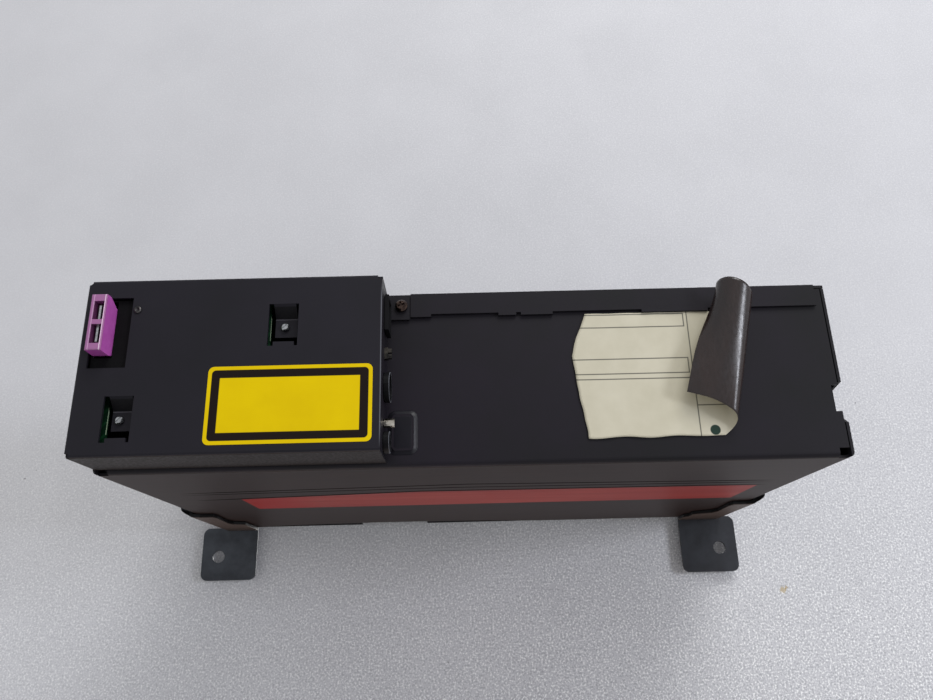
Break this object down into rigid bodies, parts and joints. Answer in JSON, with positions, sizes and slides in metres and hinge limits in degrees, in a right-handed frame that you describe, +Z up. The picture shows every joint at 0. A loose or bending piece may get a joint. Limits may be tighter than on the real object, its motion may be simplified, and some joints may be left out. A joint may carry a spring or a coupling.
{
  "type": "car cd changer",
  "caption": "Flat sheet metal disc changer with plastic front, disc magazine, lift mechanism, rear socket box with fuse and side brackets.",
  "frame": {"origin": "centre of the bottom cover's underside", "axes": "+X right and +Y rear as seen from the front, +Z up, with the unit lying flat"},
  "size_m": [0.2763, 0.1851, 0.0907],
  "materials": {
    "black_paint": "satin black paint",
    "black_plastic": "black plastic, fine texture",
    "grey_plastic": "dark grey plastic",
    "zinc": "zinc plated steel",
    "nickel": "nickel plate",
    "bronze": "dark bronze coloured plating",
    "board": "green solder mask",
    "rubber": "soft black rubber",
    "paper": "aged cream paper",
    "violet": "clear violet plastic"
  },
  "bodies": {
    "case": {"top_cover": "black_paint", "bottom_cover": "black_paint", "front_bezel": "black_plastic", "front_board": "board", "eject_switch": "grey_plastic", "interface_cover": "black_paint", "interface_frame": "black_plastic", "interface_board": "board", "tongue_screw_1": "zinc", "tongue_screw_2": "zinc", "connector_panel": "black_paint", "power_socket": "black_plastic", "bus_socket": "grey_plastic", "aux_socket": "grey_plastic", "pin_header": "bronze", "jack_post": "nickel", "foot_screw": "bronze", "fuse_holder": "black_plastic", "bracket_left": "black_paint", "bracket_right": "black_paint", "bracket_left_screw_1": "zinc", "bracket_left_screw_2": "zinc", "bracket_right_screw_1": "zinc", "bracket_right_screw_2": "zinc", "peeled_label": "paper", "mechanism_frame": "zinc", "damper_1": "rubber", "damper_2": "rubber", "damper_3": "rubber", "damper_4": "rubber", "main_board": "board", "control_chip": "black_plastic", "filter_capacitor": "zinc", "lift_motor": "zinc"},
    "magazine": {"magazine_shell": "black_plastic"},
    "tray_body_1": {"tray_1": "grey_plastic"},
    "tray_body_2": {"tray_2": "grey_plastic"},
    "tray_body_3": {"tray_3": "grey_plastic"},
    "tray_body_4": {"tray_4": "grey_plastic"},
    "tray_body_5": {"tray_5": "grey_plastic"},
    "tray_body_6": {"tray_6": "grey_plastic"},
    "carriage": {"lift_carriage": "zinc", "spindle_motor": "zinc", "sled_rod_1": "zinc", "sled_rod_2": "zinc", "sled_motor": "zinc"},
    "cam": {"cam_slide": "zinc"},
    "gear": {"lift_gear": "grey_plastic"},
    "pinion": {"motor_pinion": "nickel"},
    "platter": {"turntable": "black_plastic"},
    "sled": {"pickup_sled": "black_plastic"},
    "screw": {"lead_screw": "zinc"},
    "arm": {"clamp_arm": "zinc"},
    "puck": {"clamper": "black_plastic"},
    "button": {"eject_button": "black_plastic"},
    "fuse": {"fuse_body": "violet", "fuse_element": "zinc"},
    "left_dial": {"angle_dial_left": "grey_plastic"},
    "right_dial": {"angle_dial_right": "grey_plastic"}
  },
  "joints": [
    {"name": "magazine_slide", "type": "slide", "parent": "case", "child": "magazine", "axis": [0, -1, 0], "range_m": [0, 0.15]},
    {"name": "tray_slide_1", "type": "slide", "parent": "magazine", "child": "tray_body_1", "axis": [-1, 0, 0], "range_m": [-0.088, 0]},
    {"name": "tray_slide_2", "type": "slide", "parent": "magazine", "child": "tray_body_2", "axis": [-1, 0, 0], "range_m": [-0.088, 0]},
    {"name": "tray_slide_3", "type": "slide", "parent": "magazine", "child": "tray_body_3", "axis": [-1, 0, 0], "range_m": [-0.088, 0]},
    {"name": "tray_slide_4", "type": "slide", "parent": "magazine", "child": "tray_body_4", "axis": [-1, 0, 0], "range_m": [-0.088, 0]},
    {"name": "tray_slide_5", "type": "slide", "parent": "magazine", "child": "tray_body_5", "axis": [-1, 0, 0], "range_m": [-0.088, 0]},
    {"name": "tray_slide_6", "type": "slide", "parent": "magazine", "child": "tray_body_6", "axis": [-1, 0, 0], "range_m": [-0.088, 0]},
    {"name": "carriage_lift", "type": "slide", "parent": "case", "child": "carriage", "axis": [0, 0, 1], "range_m": [0, 0.0382]},
    {"name": "cam_travel", "type": "slide", "parent": "case", "child": "cam", "axis": [1, 0, 0], "range_m": [0, 0.0382]},
    {"name": "gear_spin", "type": "hinge", "parent": "case", "child": "gear", "pos_m": [-0.078, 0.0699, 0.0169], "axis": [0, 1, 0], "range_deg": [0, 438]},
    {"name": "pinion_spin", "type": "hinge", "parent": "case", "child": "pinion", "pos_m": [-0.06493, 0.0699, 0.0075], "axis": [0, 1, 0], "range_deg": [-1314, 0]},
    {"name": "platter_spin", "type": "hinge", "parent": "carriage", "child": "platter", "pos_m": [0.047, 0, 0.0105], "axis": [0, 0, 1], "continuous": true},
    {"name": "sled_travel", "type": "slide", "parent": "carriage", "child": "sled", "axis": [1, 0, 0], "range_m": [0, 0.034]},
    {"name": "screw_spin", "type": "hinge", "parent": "carriage", "child": "screw", "pos_m": [0.0603, 0.021, 0.0067], "axis": [1, 0, 0], "range_deg": [0, 6121]},
    {"name": "arm_hinge", "type": "hinge", "parent": "carriage", "child": "arm", "pos_m": [0.1162, 0, 0.0148], "axis": [0, 1, 0], "range_deg": [0, 4]},
    {"name": "puck_spin", "type": "hinge", "parent": "arm", "child": "puck", "pos_m": [0.047, 0, 0.013], "axis": [0, 0, 1], "continuous": true},
    {"name": "button_press", "type": "slide", "parent": "case", "child": "button", "axis": [0, 1, 0], "range_m": [0, 0.0018], "stiffness_N_per_m": 200, "springref_m": -0.001},
    {"name": "fuse_pull", "type": "slide", "parent": "case", "child": "fuse", "axis": [0, 1, 0], "range_m": [0, 0.02]},
    {"name": "left_dial_turn", "type": "hinge", "parent": "case", "child": "left_dial", "pos_m": [-0.1278, 0.022, 0.031], "axis": [-1, 0, 0], "range_deg": [0, 90]},
    {"name": "right_dial_turn", "type": "hinge", "parent": "case", "child": "right_dial", "pos_m": [0.1278, 0.022, 0.031], "axis": [1, 0, 0], "range_deg": [0, 90]}
  ],
  "couplings": [
    {"joint": "cam_travel", "follows": "carriage_lift", "ratio": 1},
    {"joint": "gear_spin", "follows": "carriage_lift", "rad_per_m": 200},
    {"joint": "pinion_spin", "follows": "carriage_lift", "rad_per_m": -600},
    {"joint": "screw_spin", "follows": "sled_travel", "rad_per_m": 3141.6}
  ]
}
